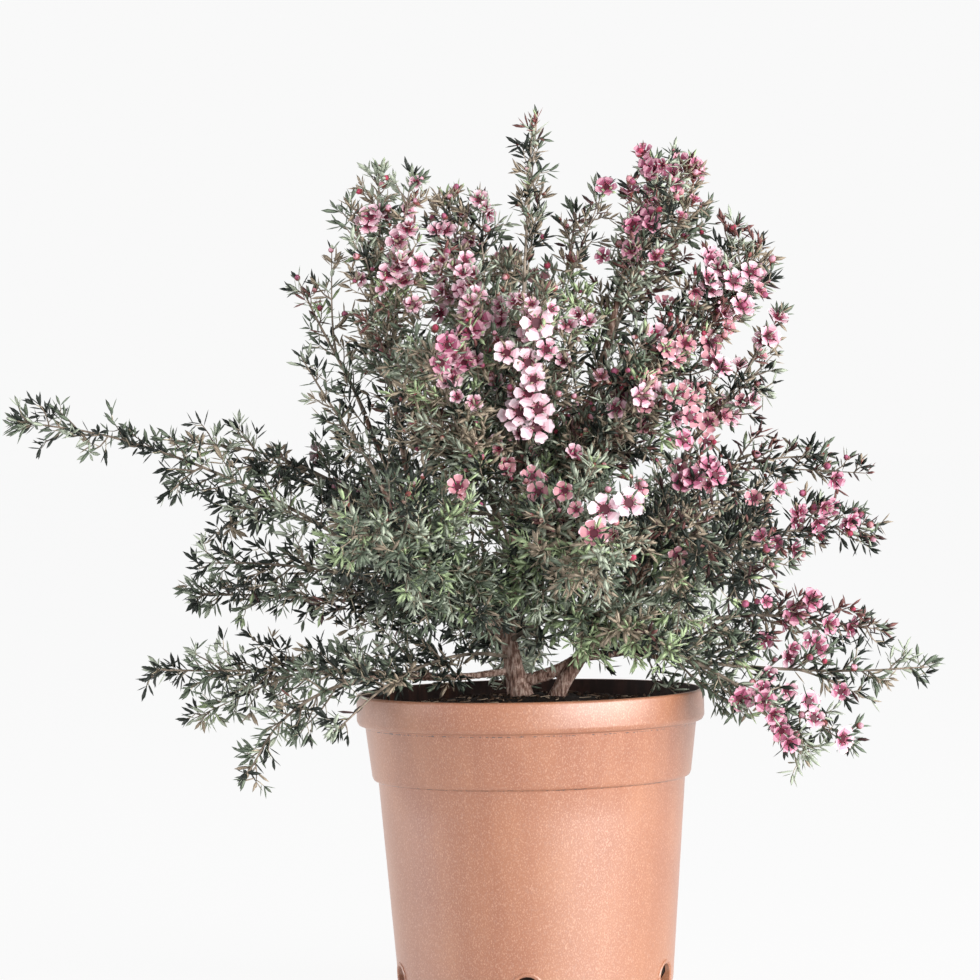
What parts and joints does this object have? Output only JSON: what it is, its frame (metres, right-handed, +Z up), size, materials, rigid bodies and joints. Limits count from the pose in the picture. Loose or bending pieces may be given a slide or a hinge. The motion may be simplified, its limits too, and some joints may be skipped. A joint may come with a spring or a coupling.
{
  "type": "potted manuka shrub",
  "caption": "Flowering manuka (tea tree) shrub with a woody stem, spreading boughs and fine-leaved sprays, standing in a round plastic grower's pot filled with soil.",
  "frame": {"origin": "centre of the pot's flat underside", "axes": "+Z up, +X to the right of the shrub's front view, along its widest spread, -Y towards its front"},
  "size_m": [0.4568, 0.3106, 0.4318],
  "materials": {
    "terracotta_plastic": "matt, finely speckled, like moulded plastic in a clay colour",
    "potting_soil": "dark moist peat with fibres",
    "bark": "flaky reddish brown to grey bark",
    "leaves_green": "small pointed grey-green leaves",
    "leaves_bronze": "bronze-tinted leaves with pink blossom"
  },
  "bodies": {
    "root": {"pot": "terracotta_plastic", "soil": "potting_soil", "trunk": "bark", "right_stem": "bark", "right_leader": "bark", "left_riser": "bark", "left_arm": "bark", "left_low_bough": "bark", "front_bough": "bark", "front_left_bough": "bark", "back_bough": "bark", "back_left_bough": "bark", "left_upper_bough": "bark", "left_mid_bough": "bark", "left_droop_bough": "bark", "left_shoulder_bough": "bark", "left_flank_bough": "bark", "right_low_bough": "bark", "right_lowest_bough": "bark", "right_droop_bough": "bark", "right_end_bough": "bark", "right_flank_bough": "bark", "right_shoulder_bough": "bark", "front_right_bough": "bark", "back_right_bough": "bark", "top_spray": "leaves_bronze", "crown_mid_left": "leaves_bronze", "crown_mid_right": "leaves_bronze", "crown_front": "leaves_bronze", "crown_front_left": "leaves_bronze", "crown_front_right": "leaves_bronze", "crown_back": "leaves_bronze", "crown_back_left": "leaves_green", "crown_back_right": "leaves_bronze", "left_rise": "leaves_green", "left_front": "leaves_green", "front_low": "leaves_green", "back_low": "leaves_green", "right_high": "leaves_bronze", "crown_right": "leaves_bronze", "crown_left": "leaves_bronze", "left_long": "leaves_green", "left_low": "leaves_green", "front_mid": "leaves_green", "front_left": "leaves_green", "back_mid": "leaves_green", "back_left": "leaves_green", "left_upper": "leaves_green", "left_mid": "leaves_green", "left_droop": "leaves_green", "left_shoulder": "leaves_green", "left_flank": "leaves_green", "right_low": "leaves_bronze", "right_lowest": "leaves_bronze", "right_droop": "leaves_bronze", "right_end": "leaves_bronze", "right_flank": "leaves_bronze", "right_shoulder": "leaves_bronze", "front_right": "leaves_green", "back_right": "leaves_green"}
  },
  "joints": []
}
